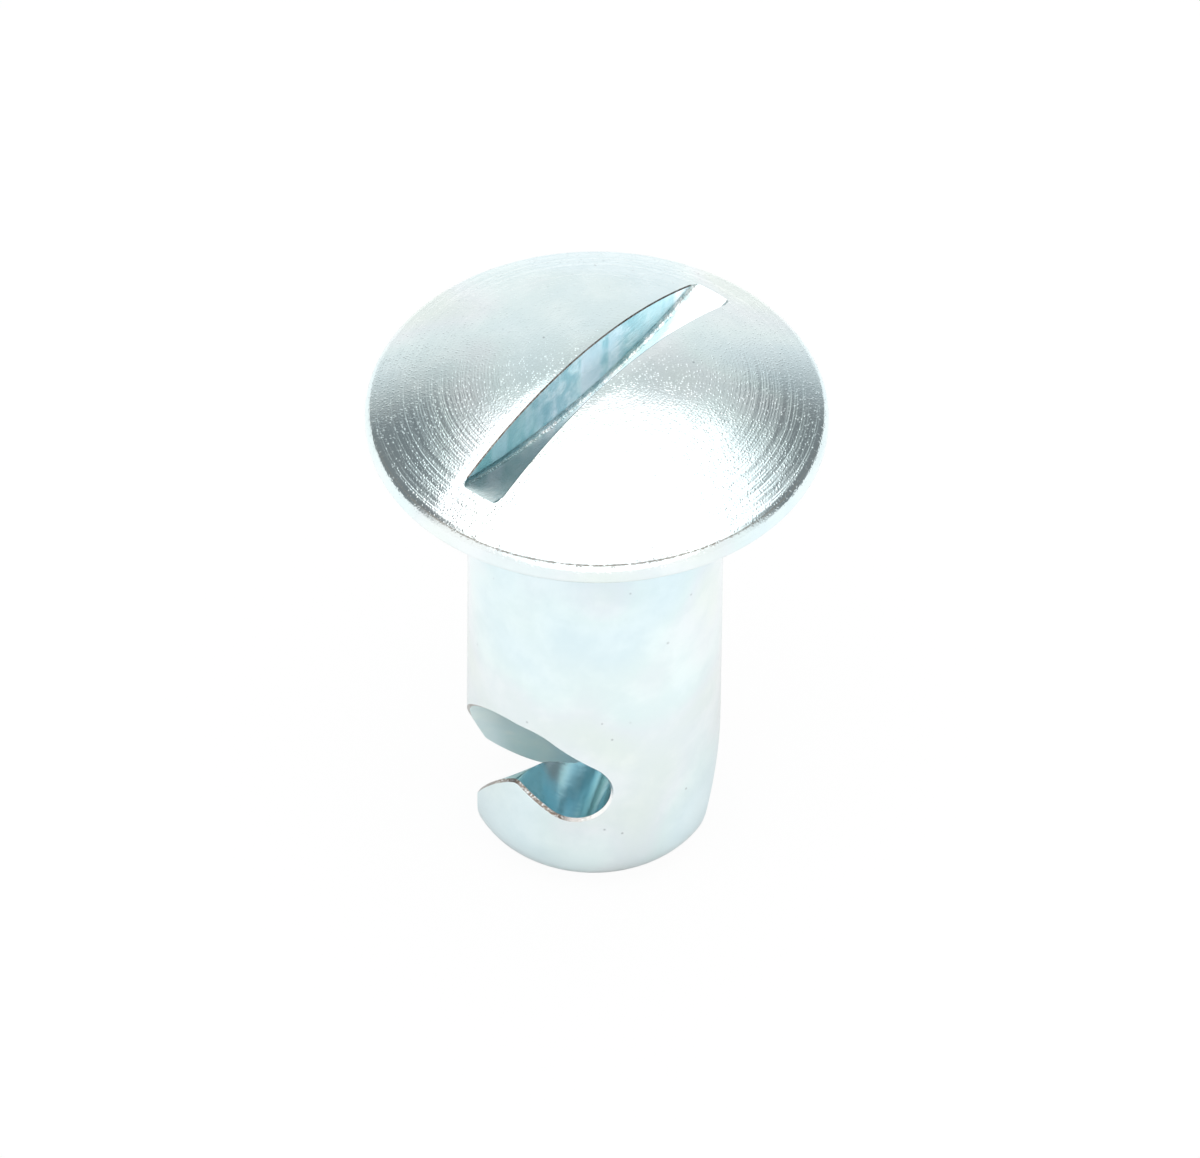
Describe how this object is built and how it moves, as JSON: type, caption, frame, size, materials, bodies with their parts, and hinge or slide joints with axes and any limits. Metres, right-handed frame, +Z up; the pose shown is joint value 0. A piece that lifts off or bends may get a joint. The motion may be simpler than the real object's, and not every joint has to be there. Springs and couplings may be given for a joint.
{
  "type": "quarter-turn fastener stud",
  "caption": "Slotted oval-head stud of a quarter-turn panel fastener, with cam slots in its shank that climb a spring wire and lock in round detents.",
  "frame": {"origin": "centre of the shank's flat end, which the fastener stands on", "axes": "+Z up the shank's axis towards the head, +X along the locked spring wire"},
  "size_m": [0.0142, 0.0142, 0.019],
  "materials": {
    "zinc_plate": "turned and milled steel with bright zinc plate, pale blue-white"
  },
  "bodies": {
    "root": {"stud": "zinc_plate"}
  },
  "joints": []
}
